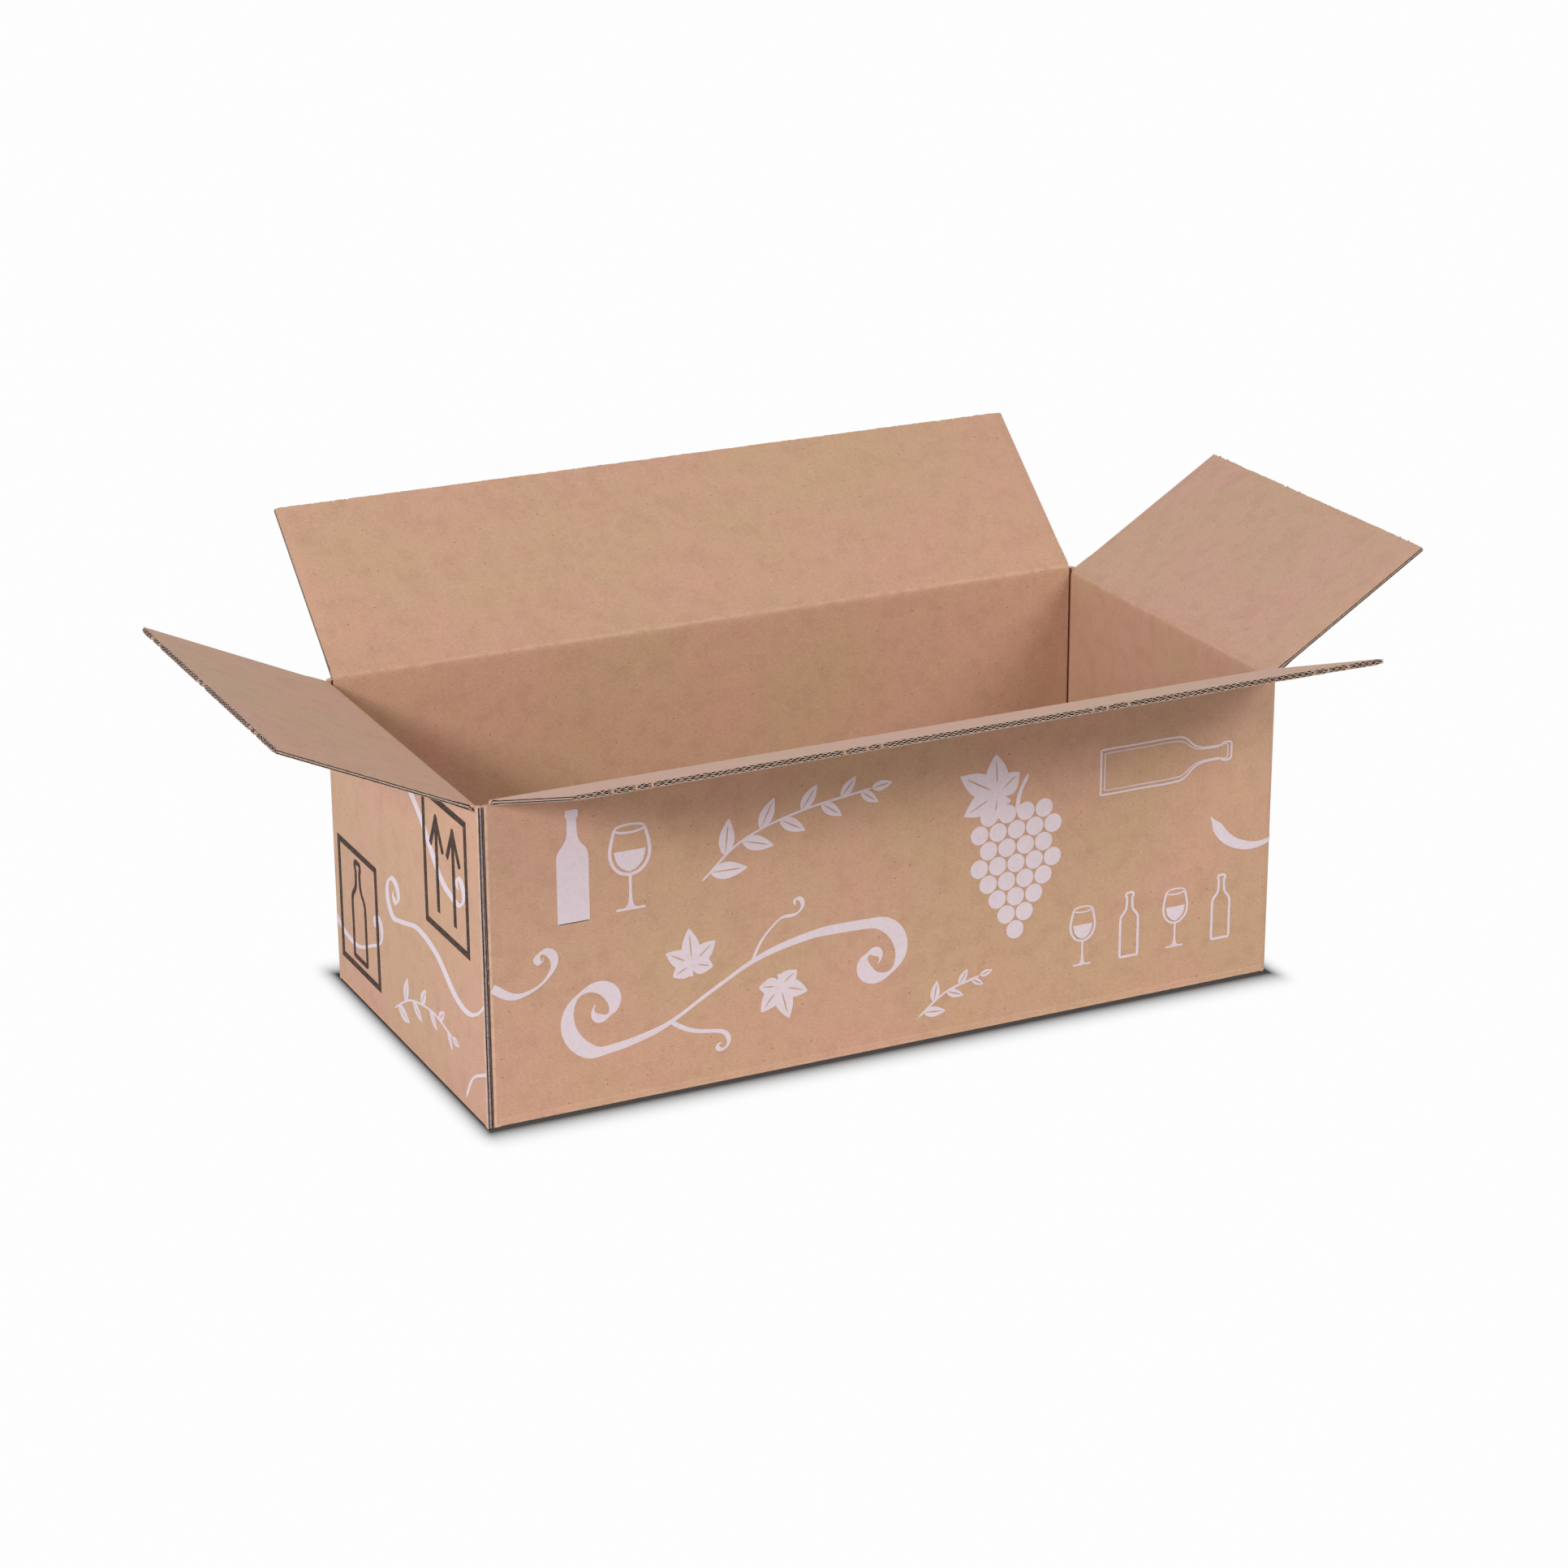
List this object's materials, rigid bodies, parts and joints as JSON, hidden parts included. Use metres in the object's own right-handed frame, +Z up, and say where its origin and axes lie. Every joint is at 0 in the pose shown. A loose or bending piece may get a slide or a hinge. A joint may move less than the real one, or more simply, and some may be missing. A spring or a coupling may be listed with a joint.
{
  "type": "bottle shipping box",
  "caption": "Open corrugated carton for bottles, made from one slotted and folded blank, with hinged top flaps bent outwards and a shut glued bottom.",
  "frame": {"origin": "middle of the underside, where the box stands on the floor", "axes": "+X along the box towards the end without the glued joint, -Y out of the printed long front side, +Z up"},
  "size_m": [0.5677, 0.3547, 0.2138],
  "materials": {
    "kraft_board": "matte brown kraft"
  },
  "bodies": {
    "box_body": {"box_body": "kraft_board"},
    "front_flap": {"front_flap": "kraft_board"},
    "right_flap": {"right_flap": "kraft_board"},
    "back_flap": {"back_flap": "kraft_board"},
    "left_flap": {"left_flap": "kraft_board"}
  },
  "joints": [
    {"name": "front_flap_fold", "type": "hinge", "parent": "box_body", "child": "front_flap", "pos_m": [0, -0.096, 0.15], "axis": [1, 0, 0], "range_deg": [-160.6, 99.4]},
    {"name": "right_flap_fold", "type": "hinge", "parent": "box_body", "child": "right_flap", "pos_m": [0.2, 0, 0.147], "axis": [0, 1, 0], "range_deg": [-148.2, 111.8]},
    {"name": "back_flap_fold", "type": "hinge", "parent": "box_body", "child": "back_flap", "pos_m": [0, 0.096, 0.15], "axis": [-1, 0, 0], "range_deg": [-139.6, 120.4]},
    {"name": "left_flap_fold", "type": "hinge", "parent": "box_body", "child": "left_flap", "pos_m": [-0.2, 0, 0.147], "axis": [0, -1, 0], "range_deg": [-155.3, 104.7]}
  ]
}
